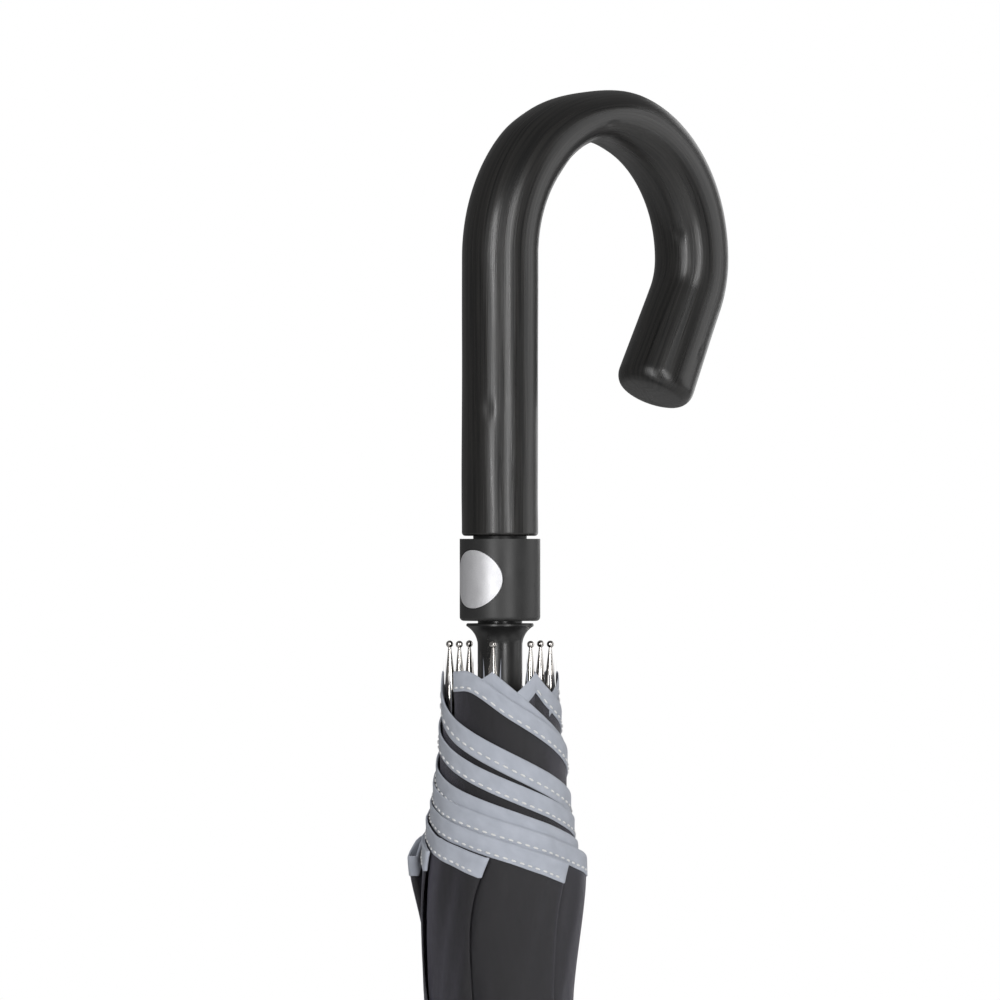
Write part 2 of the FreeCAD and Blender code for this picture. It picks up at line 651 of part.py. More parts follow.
def crook_sections():
    """Ovals along the grip, the arch and the nose that bends inwards, thinnest at the arch's top."""
    grip_length = ARCH_CENTRE_Z - HANDLE_BOTTOM_Z
    sections = []
    for step in range(GRIP_SECTIONS):
        height = HANDLE_BOTTOM_Z + grip_length * step / GRIP_SECTIONS
        sections.append((point(0, 0, height), Z_AXIS, HANDLE_RADIUS, HANDLE_RADIUS))
    for step in range(ARCH_SECTIONS + 1):
        share = step / ARCH_SECTIONS
        angle = math.pi * (1 - share)
        centre = point(
            ARCH_RADIUS * (1 + math.cos(angle)), 0, ARCH_CENTRE_Z + ARCH_RADIUS * math.sin(angle)
        )
        along = point(math.sin(angle), 0, -math.cos(angle))
        side = HANDLE_RADIUS + (HOOK_LEG_RADIUS - HANDLE_RADIUS) * share
        thinning = math.sin(angle) ** ARCH_THINNING_POWER
        in_plane_radius = side + (ARCH_TOP_THICKNESS / 2 - side) * thinning
        breadth_radius = side + (ARCH_TOP_BREADTH / 2 - side) * thinning
        sections.append((centre, along, in_plane_radius, breadth_radius))
    bend_centre_x = 2 * ARCH_RADIUS - NOSE_BEND_RADIUS
    for step in range(1, NOSE_BEND_SECTIONS + 1):
        angle = math.radians(NOSE_BEND_ANGLE) * step / NOSE_BEND_SECTIONS
        centre = point(
            bend_centre_x + NOSE_BEND_RADIUS * math.cos(angle),
            0,
            ARCH_CENTRE_Z - NOSE_BEND_RADIUS * math.sin(angle),
        )
        along = point(-math.sin(angle), 0, -math.cos(angle))
        sections.append((centre, along, HOOK_LEG_RADIUS, HOOK_LEG_RADIUS))
    bend_end = sections[-1][0]
    for step in range(1, NOSE_SECTIONS + 1):
        share = step / NOSE_SECTIONS
        radius = HOOK_LEG_RADIUS + (NOSE_RADIUS - HOOK_LEG_RADIUS) * share
        sections.append((bend_end + along * NOSE_LENGTH * share, along, radius, radius))
    return sections


def section_wire(centre, along, in_plane_radius, breadth_radius):
    """An oval across the crook's middle line, as a closed curve that starts on the outer side."""
    outward = point(-along.z, 0, along.x)
    places = []
    for step in range(OVAL_POINTS):
        turn = 2 * math.pi * step / OVAL_POINTS
        places.append(
            centre
            + outward * in_plane_radius * math.cos(turn)
            + Y_AXIS * breadth_radius * math.sin(turn)
        )
    curve = Part.BSplineCurve()
    curve.interpolate(Points=places, PeriodicFlag=True)
    return Part.Wire(curve.toShape())


def crook_handle():
    """Bent wooden crook: straight grip, arch and nose with a rounded end."""
    sections = crook_sections()
    end_centre, end_along = sections[-1][0], sections[-1][1]
    for step in range(1, NOSE_CAP_SECTIONS + 1):
        turn = math.radians(NOSE_CAP_ANGLE) * step / NOSE_CAP_SECTIONS
        centre = end_centre + end_along * NOSE_CAP_LENGTH * math.sin(turn)
        radius = NOSE_RADIUS - NOSE_EDGE * (1 - math.cos(turn))
        sections.append((centre, end_along, radius, radius))
    body = Part.makeLoft([section_wire(*section) for section in sections], True, False)
    below = point(0, 0, HANDLE_BOTTOM_Z - CUT_ROOM)
    bore = bar(HANDLE_BORE_RADIUS, below, point(0, 0, SHAFT_TOP_Z))
    counterbore = bar(
        HANDLE_COUNTERBORE_RADIUS,
        below,
        point(0, 0, HANDLE_BOTTOM_Z + HANDLE_COUNTERBORE_DEPTH),
    )
    return body.cut(bore.fuse(counterbore))


def rib_back_radius(height):
    """Distance from the axis to the outer side of the closed ribs at a height."""
    rise = (height - CROWN_HINGE_Z) * math.tan(math.radians(CLOSED_TILT))
    return CROWN_HINGE_RADIUS + RIB_HEIGHT / 2 + rise + GORE_ROOM_OVER_RIB


def gore():
    """One gore of the rolled canopy, as a closed wedge of the roll outside the ribs."""
    outline = [(GORE_BOTTOM_INNER, GORE_BOTTOM_Z), (GORE_BOTTOM_OUTER, GORE_BOTTOM_Z)]
    outline += [(radius, height) for height, radius in GORE_OUTER]
    outline += [
        (rib_back_radius(HEM_Z), HEM_Z),
        (rib_back_radius(GORE_WAIST_Z), GORE_WAIST_Z),
    ]
    gap_angle = math.degrees(GORE_GAP / GORE_OUTER[-1][1])
    wedge = 360.0 / RIB_COUNT - gap_angle
    return turned(lathe(outline, wedge), ORIGIN, Z_AXIS, gap_angle / 2)


def tie_strap():
    """Strap round the roll, with its overlapping end."""
    outer = STRAP_INNER_RADIUS + STRAP_THICKNESS
    band = lathe([
        (STRAP_INNER_RADIUS, STRAP_LOW_Z),
        (outer, STRAP_LOW_Z),
        (outer, STRAP_HIGH_Z),
        (STRAP_INNER_RADIUS, STRAP_HIGH_Z),
    ])
    overlap = lathe(
        [
            (outer, STRAP_LOW_Z),
            (outer + STRAP_THICKNESS, STRAP_LOW_Z),
            (outer + STRAP_THICKNESS, STRAP_HIGH_Z),
            (outer, STRAP_HIGH_Z),
        ],
        STRAP_OVERLAP_ANGLE,
    )
    overlap = turned(overlap, ORIGIN, Z_AXIS, STRAP_AZIMUTH - STRAP_OVERLAP_ANGLE / 2)
    return band.fuse(overlap).cut(snap_button())


def snap_button():
    """Press stud that closes the strap."""
    face = STRAP_INNER_RADIUS + STRAP_THICKNESS
    middle_z = (STRAP_LOW_Z + STRAP_HIGH_Z) / 2
    stud = along_x(SNAP_RADIUS, face, face + STRAP_THICKNESS + SNAP_HEIGHT, 0, middle_z)
    return turned(stud, ORIGIN, Z_AXIS, STRAP_AZIMUTH)


def main():
    os.makedirs("parts", exist_ok=True)
    single = {
        "shaft_tube": shaft_tube,
        "ferrule_tip": ferrule_tip,
        "ferrule": ferrule,
        "ferrule_cap": ferrule_cap,
        "crown": crown,
        "open_stop": open_stop,
        "opening_spring": opening_spring,
        "spring_stop_pin": spring_stop_pin,
        "handle_collar": handle_collar,
        "push_button": push_button,
        "latch_plate": latch_plate,
        "button_spring": button_spring,
        "crook_handle": crook_handle,
        "runner": runner,
        "runner_pin": runner_pin,
        "spring_pusher": spring_pusher,
        "tie_strap": tie_strap,
        "strap_snap": snap_button,
    }
    for node, make in single.items():
        save(make(), node)
    save(ring_wire(CROWN_HINGE_RADIUS, CROWN_WIRE_RADIUS, CROWN_HINGE_Z), "crown_wire")
    save(ring_wire(RUNNER_HINGE_RADIUS, RUNNER_WIRE_RADIUS, RUNNER_HINGE_Z), "runner_wire")
    repeated = {
        "rib": rib(),
        "rib_tip": rib_tip(),
        "stretcher": stretcher(),
        "stretcher_rivet": stretcher_rivet(),
        "gore": gore(),
    }
    for index in range(RIB_COUNT):
        for name, shape in repeated.items():
            save(around(shape, index), name + "_" + str(index + 1))
    print("closed tilt", round(CLOSED_TILT, 4))
    print("runner hinge height", round(RUNNER_HINGE_Z, 4), "travel", round(RUNNER_TRAVEL, 4))


main()
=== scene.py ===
import json
import math

import bmesh
import bpy
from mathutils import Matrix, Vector, noise


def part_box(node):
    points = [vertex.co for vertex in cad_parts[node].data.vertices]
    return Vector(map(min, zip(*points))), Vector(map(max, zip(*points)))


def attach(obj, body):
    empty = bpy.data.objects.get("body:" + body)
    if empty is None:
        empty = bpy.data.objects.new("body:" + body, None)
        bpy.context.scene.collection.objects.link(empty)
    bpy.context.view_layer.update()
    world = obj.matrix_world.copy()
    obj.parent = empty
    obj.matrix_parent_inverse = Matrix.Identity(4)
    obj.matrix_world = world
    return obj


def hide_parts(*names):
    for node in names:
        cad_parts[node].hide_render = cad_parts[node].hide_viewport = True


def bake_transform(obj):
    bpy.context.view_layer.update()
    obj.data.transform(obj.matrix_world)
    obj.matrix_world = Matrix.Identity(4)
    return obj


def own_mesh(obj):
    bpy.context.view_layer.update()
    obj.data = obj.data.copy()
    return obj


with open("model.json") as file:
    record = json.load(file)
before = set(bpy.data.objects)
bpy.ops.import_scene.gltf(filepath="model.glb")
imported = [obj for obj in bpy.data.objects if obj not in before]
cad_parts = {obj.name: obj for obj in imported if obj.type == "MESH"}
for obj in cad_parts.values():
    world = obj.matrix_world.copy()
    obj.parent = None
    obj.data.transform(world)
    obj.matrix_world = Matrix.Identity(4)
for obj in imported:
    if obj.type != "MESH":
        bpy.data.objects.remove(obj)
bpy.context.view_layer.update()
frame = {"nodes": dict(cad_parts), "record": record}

# ---------------------------------------- sizes, from the frame where it has them
MM = 0.001
JOINTS = {joint["name"]: joint for joint in frame["record"]["behaviour"]["joints"]}
RIBS = range(1, 9)
RIB_STEP = math.radians(45)
HINGE_RADIUS = math.hypot(*JOINTS["rib_1_spread"]["pos_m"][:2])
HINGE_Z = JOINTS["rib_1_spread"]["pos_m"][2]
FIRST_AZIMUTH = math.atan2(*reversed(JOINTS["rib_1_spread"]["pos_m"][:2]))
OPENING_TURN = math.radians(JOINTS["rib_1_spread"]["range_deg"][1])
RIB_HALF = 1.5 * MM
RIB_LENGTH = 575 * MM
RIB_LEAN = 9 * MM
CLOSED_TILT = math.asin(RIB_LEAN / RIB_LENGTH)
HEM_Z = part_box("gore_1")[1][2]
APEX_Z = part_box("gore_1")[0][2]
HANDLE_FOOT_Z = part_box("crook_handle")[0][2]

VIEW_AZIMUTH = math.radians(-47)
TOWARDS_CAMERA = Vector((math.sin(VIEW_AZIMUTH), -math.cos(VIEW_AZIMUTH), 0))
CAMERA_BEARING = math.atan2(TOWARDS_CAMERA.y, TOWARDS_CAMERA.x)


def polar(radius, azimuth, height):
    return (radius * math.cos(azimuth), radius * math.sin(azimuth), height)


def slope_at(pairs, index):
    """Slope of the smooth curve through (place, value) pairs at one of them."""
    before, after = max(index - 1, 0), min(index + 1, len(pairs) - 1)
    return (pairs[after][1] - pairs[before][1]) / (pairs[after][0] - pairs[before][0])


def smooth_table(pairs, place):
    """A value read from a smooth curve through (place, value) pairs."""
    if place <= pairs[0][0]:
        return pairs[0][1]
    for index in range(len(pairs) - 1):
        (a, low), (b, high) = pairs[index], pairs[index + 1]
        if place <= b:
            x = (place - a) / (b - a)
            rise = slope_at(pairs, index) * (b - a)
            fall = slope_at(pairs, index + 1) * (b - a)
            return (low * (1 + 2 * x) * (1 - x) ** 2 + rise * x * (1 - x) ** 2
                    + high * x * x * (3 - 2 * x) - fall * x * x * (1 - x))
    return pairs[-1][1]


def ease(x):
    x = min(max(x, 0.0), 1.0)
    return x * x * (3 - 2 * x)


# ---------------------------------------------------------------- materials
class Surface:
    """A Principled material with helpers for the nodes that the finishes share."""

    def __init__(self, name, colour, roughness, metallic=0.0):
        self.material = bpy.data.materials.new(name)
        self.material.use_nodes = True
        self.nodes = self.material.node_tree.nodes
        self.links = self.material.node_tree.links
        self.shader = self.nodes["Principled BSDF"]
        self.colour = (*colour, 1.0)
        self.set("Base Color", self.colour)
        self.set("Roughness", roughness)
        self.set("Metallic", metallic)
        self.bumps = None

    def set(self, socket, value):
        self.shader.inputs[socket].default_value = value

    def place(self, source, scale):
        """Texture coordinates, stretched by a scale along each axis."""
        coordinates = self.nodes.new("ShaderNodeTexCoord")
        mapping = self.nodes.new("ShaderNodeMapping")
        mapping.inputs["Scale"].default_value = scale
        self.links.new(coordinates.outputs[source], mapping.inputs["Vector"])
        return mapping.outputs["Vector"]

    def noise(self, vector, scale, detail=2.0, distortion=0.0):
        texture = self.nodes.new("ShaderNodeTexNoise")
        texture.inputs["Scale"].default_value = scale
        texture.inputs["Detail"].default_value = detail
        texture.inputs["Distortion"].default_value = distortion
        self.links.new(vector, texture.inputs["Vector"])
        return texture.outputs["Fac"]

    def wave(self, vector, scale, direction, distortion=0.0):
        texture = self.nodes.new("ShaderNodeTexWave")
        texture.bands_direction = direction
        texture.inputs["Scale"].default_value = scale
        texture.inputs["Distortion"].default_value = distortion
        self.links.new(vector, texture.inputs["Vector"])
        return texture.outputs["Fac"]

    def ramp(self, value, stops):
        ramp = self.nodes.new("ShaderNodeValToRGB")
        elements = ramp.color_ramp.elements
        while len(elements) < len(stops):
            elements.new(0.5)
        for element, (place, colour) in zip(elements, stops):
            element.position = place
            element.color = colour if len(colour) == 4 else (*colour, 1.0)
        self.links.new(value, ramp.inputs["Fac"])
        return ramp.outputs["Color"]

    def span(self, value, low, high):
        """A texture's 0 to 1 spread over another range."""
        spread = self.nodes.new("ShaderNodeMapRange")
        spread.inputs["From Min"].default_value = 0.3
        spread.inputs["From Max"].default_value = 0.7
        spread.inputs["To Min"].default_value = low
        spread.inputs["To Max"].default_value = high
        self.links.new(value, spread.inputs["Value"])
        return spread.outputs["Result"]

    def times(self, one, other):
        product = self.nodes.new("ShaderNodeMath")
        product.operation = "MULTIPLY"
        self.links.new(one, product.inputs[0])
        self.links.new(other, product.inputs[1])
        return product.outputs["Value"]

    def plug(self, value, socket):
        self.links.new(value, self.shader.inputs[socket])

    def bump(self, height, distance, strength=1.0):
        node = self.nodes.new("ShaderNodeBump")
        node.inputs["Distance"].default_value = distance
        node.inputs["Strength"].default_value = strength
        self.links.new(height, node.inputs["Height"])
        if self.bumps is not None:
            self.links.new(self.bumps, node.inputs["Normal"])
        self.bumps = node.outputs["Normal"]
        self.plug(self.bumps, "Normal")


def grey(value, blue=1.0):
    return (value, value, value * blue)


def lacquered_wood():
    """Black lacquer over bent wood: the grain shows as faint streaks and shallow pores."""
    s = Surface("lacquered_wood", grey(0.010), 0.3)
    along = s.place("UV", (1100, 20, 1))
    fine = s.place("UV", (3200, 45, 1))
    broad = s.place("UV", (60, 5, 1))
    streaks = s.noise(along, 1.0, 5.0, 0.6)
    s.plug(s.ramp(streaks, [(0.35, grey(0.006)), (0.62, (0.018, 0.017, 0.016)), (0.8, grey(0.009))]),
           "Base Color")
    s.plug(s.span(s.noise(along, 1.3, 6.0, 0.4), 0.24, 0.42), "Roughness")
    s.bump(s.noise(broad, 1.0, 3.0), 0.00022)
    s.bump(streaks, 0.00006)
    s.bump(s.noise(fine, 1.0, 4.0), 0.00003)
    s.set("Coat Weight", 0.15)
    s.set("Coat Roughness", 0.22)
    return s.material


def moulded_plastic(name, value, roughness, grain):
    """Moulded plastic with a fine spark-eroded texture and a little handling wear."""
    s = Surface(name, grey(value, 1.03), roughness)
    everywhere = s.place("Object", (1, 1, 1))
    wear = s.noise(everywhere, 90.0, 4.0)
    s.plug(s.span(wear, roughness - 0.05, roughness + 0.07), "Roughness")
    s.plug(s.ramp(wear, [(0.3, grey(value * 0.85)), (0.75, grey(value * 1.2))]), "Base Color")
    s.bump(s.noise(everywhere, 4200.0, 2.0), grain)
    s.bump(s.noise(everywhere, 160.0, 2.0), 0.00003)
    return s.material


def bright_metal(name, colour, roughness, streak):
    """Plated or drawn metal with faint drawing lines and patchy dulling."""
    s = Surface(name, colour, roughness, 1.0)
    drawn = s.place("Object", (2600, 2600, 60))
    patches = s.noise(s.place("Object", (1, 1, 1)), 220.0, 4.0)
    s.plug(s.span(patches, roughness * 0.75, roughness * 1.4), "Roughness")
    dull = tuple(c * 0.82 for c in colour)
    s.plug(s.ramp(patches, [(0.3, dull), (0.7, colour)]), "Base Color")
    s.bump(s.noise(drawn, 1.0, 2.0), streak)
    return s.material


def satin_silver():
    """Satin silver paint on the button: fine sparkle and soft sheen."""
    s = Surface("satin_silver", (0.70, 0.70, 0.72), 0.52, 0.7)
    everywhere = s.place("Object", (1, 1, 1))
    flakes = s.noise(everywhere, 7000.0, 2.0)
    s.plug(s.ramp(flakes, [(0.35, (0.66, 0.66, 0.68)), (0.7, (0.84, 0.84, 0.86))]), "Base Color")
    s.plug(s.span(s.noise(everywhere, 300.0, 3.0), 0.48, 0.58), "Roughness")
    s.bump(flakes, 0.000012)
    return s.material


def black_paint(name, roughness):
    """Stoved black paint on steel, with slight orange peel."""
    s = Surface(name, grey(0.02), roughness)
    everywhere = s.place("Object", (1, 1, 1))
    worn = s.noise(everywhere, 140.0, 5.0)
    s.plug(s.ramp(worn, [(0.3, grey(0.014)), (0.7, grey(0.03))]), "Base Color")
    s.plug(s.span(worn, roughness - 0.06, roughness + 0.1), "Roughness")
    s.bump(s.noise(everywhere, 900.0, 2.0), 0.00002)
    return s.material


def woven(name, dark, light, pitch, roughness, depth, slub_scale=(420, 36, 1), pull=0.0005):
    """Plain-woven cloth: warp and weft crossing at a pitch, with slubs and soft creases."""
    s = Surface(name, light, roughness)
    threads = s.place("UV", (1 / pitch, 1 / pitch, 1))
    warp = s.wave(threads, 0.5, "X")
    weft = s.wave(threads, 0.5, "Y")
    weave = s.times(warp, weft)
    slubs = s.noise(s.place("UV", slub_scale), 1.0, 4.0)
    s.plug(s.ramp(slubs, [(0.3, dark), (0.72, light)]), "Base Color")
    s.plug(s.span(slubs, roughness - 0.05, roughness + 0.06), "Roughness")
    s.bump(s.noise(s.place("UV", (75, 40, 1)), 1.0, 4.0), pull)
    s.bump(weave, depth)
    return s


def canopy_fabric():
    s = woven("canopy_fabric", (0.0075, 0.007, 0.0085), (0.0135, 0.0125, 0.0155), 0.32 * MM, 0.5,
              0.00006)
    s.set("Sheen Weight", 0.35)
    s.set("Sheen Roughness", 0.4)
    s.set("Sheen Tint", (0.62, 0.6, 0.75, 1.0))
    return s.material


def hem_tape():
    s = woven("hem_tape", (0.42, 0.45, 0.515), (0.50, 0.53, 0.60), 0.42 * MM, 0.72, 0.00009,
              (190, 260, 1), 0.00012)
    s.set("Sheen Weight", 0.2)
    s.set("Sheen Roughness", 0.5)
    return s.material


def stitch_thread():
    s = woven("stitch_thread", (0.78, 0.78, 0.78), (0.93, 0.93, 0.92), 0.2 * MM, 0.65, 0.00004)
    return s.material


MATERIALS = {
    "lacquered_wood": lacquered_wood(),
    "collar_plastic": moulded_plastic("collar_plastic", 0.022, 0.43, 0.000025),
    "runner_plastic": moulded_plastic("runner_plastic", 0.016, 0.3, 0.000008),
    "black_plastic": moulded_plastic("black_plastic", 0.018, 0.5, 0.00002),
    "tip_plastic": moulded_plastic("tip_plastic", 0.02, 0.6, 0.00004),
    "satin_silver": satin_silver(),
    "nickel_steel": bright_metal("nickel_steel", (0.66, 0.63, 0.60), 0.12, 0.000004),
    "steel_wire": bright_metal("steel_wire", (0.48, 0.48, 0.49), 0.3, 0.00001),
    "shaft_steel": black_paint("shaft_steel", 0.32),
    "ferrule_black": black_paint("ferrule_black", 0.28),
    "rib_steel": black_paint("rib_steel", 0.35),
    "canopy_fabric": canopy_fabric(),
    "hem_tape": hem_tape(),
    "stitch_thread": stitch_thread(),
}


def finish_cad_nodes():
    """Gives every carried-over CAD node its slot's material."""
    for part in frame["record"]["subparts"]:
        node = frame["nodes"][part["node"]]
        for slot in node.material_slots:
            slot.material = MATERIALS[part["material_slot"]]


def new_piece(name, points, faces, uvs, slots, face_slots=None):
    """A smooth-shaded mesh piece with a UV map in metres and one material per slot name."""
    mesh = bpy.data.meshes.new(name)
    mesh.from_pydata(points, [], faces)
    for slot in slots:
        mesh.materials.append(MATERIALS[slot])
    layer = mesh.uv_layers.new(name="UVMap")
    for loop in mesh.loops:
        layer.data[loop.index].uv = uvs[loop.vertex_index]
    mesh.polygons.foreach_set("use_smooth", [True] * len(mesh.polygons))
    if face_slots is not None:
        mesh.polygons.foreach_set("material_index", face_slots)
    mesh.validate()
    mesh.update()
    piece = bpy.data.objects.new(name, mesh)
    bpy.context.scene.collection.objects.link(piece)
    return piece


def grid_faces(columns, rows):
    """Quads of a grid whose points are stored column by column."""
    faces = []
    for column in range(columns - 1):
        left = column * rows
        right = left + rows
        for row in range(rows - 1):
            faces.append((left + row, right + row, right + row + 1, left + row + 1))
    return faces


# ---------------------------------------------------------------- crook handle
GRIP_RADIUS = 12.8 * MM
ARCH_RADIUS = 47.6 * MM
ARCH_CENTRE_Z = 787 * MM
BEND_RADIUS = 30 * MM
BEND_TURN = math.radians(27.2)
NOSE_LENGTH = 31 * MM
NOSE_CAP = 5.0 * MM
NOSE_EDGE = 3.6 * MM
HANDLE_EDGE = 1.2 * MM
AROUND = 128
FOOT_RINGS = 6
LENGTH_RINGS = 300
CAP_RINGS = 12
SKIN_START = 2 * MM
SKIN_EASE = 10 * MM
KNOT_DEPTH = 0.32 * MM
UNEVENNESS = 0.22 * MM
NOSE_FACE_INSET = 1.2 * MM
NOSE_FACE_CROWN = 0.2 * MM

# (radius, height over the foot) of the hollow in the foot, round the collar's tenon and the shaft
FOOT_HOLLOW = [(9.15 * MM, 0.0), (9.15 * MM, 9.4 * MM), (5.02 * MM, 9.4 * MM), (5.02 * MM, 91 * MM)]

# (millimetres along the middle line from the foot, half thickness in the crook's plane)
CROOK_THICKNESS = [
    (0, 12.8), (94, 12.8), (132, 11.7), (144, 10.1), (164, 8.6), (184, 10.8), (215, 12.2), (257, 12.4),
    (290, 13.4),
]
CROOK_BREADTH = [(0, 12.8), (94, 12.8), (165, 12.5), (230, 12.4), (290, 13.2)]


def crook_middle(travel):
    """Middle line of the crook at a distance from its foot: place and direction."""
    grip = ARCH_CENTRE_Z - HANDLE_FOOT_Z
    arch = math.pi * ARCH_RADIUS
    bend = BEND_RADIUS * BEND_TURN
    if travel < grip:
        return Vector((0, 0, HANDLE_FOOT_Z + travel)), Vector((0, 0, 1))
    if travel < grip + arch:
        angle = math.pi * (1 - (travel - grip) / arch)
        place = Vector((ARCH_RADIUS * (1 + math.cos(angle)), 0,
                        ARCH_CENTRE_Z + ARCH_RADIUS * math.sin(angle)))
        return place, Vector((math.sin(angle), 0, -math.cos(angle)))
    turn = min((travel - grip - arch) / BEND_RADIUS, BEND_TURN)
    along = Vector((-math.sin(turn), 0, -math.cos(turn)))
    place = Vector((2 * ARCH_RADIUS - BEND_RADIUS * (1 - math.cos(turn)), 0,
                    ARCH_CENTRE_Z - BEND_RADIUS * math.sin(turn)))
    past = travel - grip - arch - bend
    if past > 0:
        place += along * past
    return place, along


def crook_line(travel):
    """Middle line of the crook with the half sizes of its oval section."""
    place, along = crook_middle(travel)
    thickness = smooth_table(CROOK_THICKNESS, travel / MM) * MM
    breadth = smooth_table(CROOK_BREADTH, travel / MM) * MM
    return place, along, thickness, breadth


def crook_rings():
    """(travel, share of the radius) for each ring, with the foot and the nose rounded off."""
    length = (ARCH_CENTRE_Z - HANDLE_FOOT_Z + math.pi * ARCH_RADIUS
              + BEND_RADIUS * BEND_TURN + NOSE_LENGTH)
    rings = []
    for step in range(FOOT_RINGS + 1):
        turn = math.pi / 2 * step / FOOT_RINGS
        rings.append((HANDLE_EDGE * (1 - math.cos(turn)),
                      1 - HANDLE_EDGE * (1 - math.sin(turn)) / GRIP_RADIUS))
    for step in range(1, LENGTH_RINGS + 1):
        rings.append((HANDLE_EDGE + (length - HANDLE_EDGE) * step / LENGTH_RINGS, 1.0))
    for step in range(1, CAP_RINGS + 1):
        turn = math.pi / 2 * step / CAP_RINGS
        rings.append((length + NOSE_CAP * math.sin(turn),
                      1 - NOSE_EDGE * (1 - math.cos(turn)) / GRIP_RADIUS))
    return rings, length


KNOTS = [
    # travel from the foot, angle round the section from the outer side towards -Y, half size
    (0.0425, 0.42, 0.0021),
    (0.163, 1.85, 0.0017),
    (0.232, 2.75, 0.0022),
    (0.276, 1.3, 0.0014),
]


def crook_skin(travel, angle):
    """How far the wood stands in from its ideal surface: knots, and slow hand-worked unevenness."""
    dent = 0.0
    for place, around, size in KNOTS:
        turn = (angle - around + math.pi) % (2 * math.pi) - math.pi
        across = turn * GRIP_RADIUS
        reach = math.hypot((travel - place) * 0.6, across) / size
        dent += KNOT_DEPTH * math.exp(-reach * reach)
    sample = Vector((travel * 26, math.cos(angle) * 0.9, math.sin(angle) * 0.9))
    return dent - UNEVENNESS * noise.noise(sample)


def crook_handle():
    rings, length = crook_rings()
    points, uvs = [], []
    for step in range(AROUND + 1):
        angle = 2 * math.pi * step / AROUND
        for travel, share in rings:
            inside = min(travel, length)
            place, along, thickness, breadth = crook_line(inside)
            place = place + along * (travel - inside)
            outward = Vector((-along.z, 0, along.x))
            offset = (outward * (thickness * share * math.cos(angle))
                      - Vector((0, 1, 0)) * (breadth * share * math.sin(angle)))
            fade_in = ease((travel - SKIN_START) / SKIN_EASE)
            keep = 1 - crook_skin(travel, angle) / offset.length * fade_in
            points.append(place + offset * keep)
            uvs.append((step / AROUND * 2 * math.pi * GRIP_RADIUS, travel))
    rows = len(rings)
    faces = grid_faces(AROUND + 1, rows)
    piece = new_piece("crook_handle_wood", points, faces, uvs, ["lacquered_wood"])
    close_ends(piece)
    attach(piece, "umbrella")
    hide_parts("crook_handle")


def close_ends(piece):
    """Welds the seam, caps the nose, and closes the foot round the collar's tenon and the shaft."""
    mesh = bmesh.new()
    mesh.from_mesh(piece.data)
    bmesh.ops.remove_doubles(mesh, verts=mesh.verts, dist=1e-7)
    rims = [edge for edge in mesh.edges if edge.is_boundary]
    nose = [edge for edge in rims if edge.verts[0].co.x > ARCH_RADIUS]
    foot = [edge for edge in rims if edge.verts[0].co.x <= ARCH_RADIUS]
    cap = bmesh.ops.contextual_create(mesh, geom=nose)["faces"]
    inset = bmesh.ops.inset_region(mesh, faces=cap, thickness=NOSE_FACE_INSET, depth=NOSE_FACE_CROWN)
    for face in cap + inset["faces"]:
        face.smooth = True
    ring = foot
    for radius, height in FOOT_HOLLOW:
        made = bmesh.ops.extrude_edge_only(mesh, edges=ring)["geom"]
        ring = [item for item in made if isinstance(item, bmesh.types.BMEdge)]
        for vert in {vert for edge in ring for vert in edge.verts}:
            flat = Vector((vert.co.x, vert.co.y, 0)).normalized() * radius
            vert.co = Vector((flat.x, flat.y, HANDLE_FOOT_Z + height))
    bmesh.ops.contextual_create(mesh, geom=ring)
    bmesh.ops.recalc_face_normals(mesh, faces=mesh.faces)
    mesh.to_mesh(piece.data)
    mesh.free()


# ---------------------------------------------------------------- rolled canopy
# (height, radius) of the roll's outside, in metres
ROLL_OUTER = [
    (APEX_Z, 0.0118), (0.092, 0.0136), (0.200, 0.0167), (0.400, 0.0214), (0.480, 0.0232),
    (0.499, 0.0229), (0.522, 0.0241), (0.545, 0.0254), (0.575, 0.0266), (0.660, 0.0262),
]

# how the cloth lies: its room over the ribs, its folded edges, and their flare below the hem
ROLL_ROOM = 0.9 * MM
FOLD_GAP = 0.5 * MM
FOLD_LEAN = math.radians(15)
FOLD_LEAN_START = 0.03
FOLD_LEAN_END = 0.2
FOLD_NARROWING = 0.70
FOLD_LEAST = math.radians(62)
FOLD_EDGE_WIDTH = 9 * MM
FOLD_EDGE_LIFT = 0.25 * MM
FOLD_GAP_WIDTH = 7 * MM
FLARE_BELOW = 4 * MM
FLARE_HEIGHT = 22 * MM
FLARE_GAP_HEIGHT = 20 * MM
FLARE_GAP_SHARE = 0.55

# the creases: their lean in radians per metre, their depths, and where they start
CREASE_LEAN = 9.0
CREASE_PULL = 0.9 * MM
CREASE_FINE = 0.45 * MM
CREASE_AT_HEM = 0.25
CREASE_INSIDE = 0.4
CREASE_OUTWARD = 1.4

# half of a gore's hem, in metres, and how finely the sheet is divided
HALF_HEM = 0.215
FACE_STEPS = 96
BEND_STEPS = 6
BEND_BULGE = 0.006
BACK_STEPS = 72
BACK_REACH = 0.95
ROLL_ROWS = 110
ROW_CROWDING = 1.6

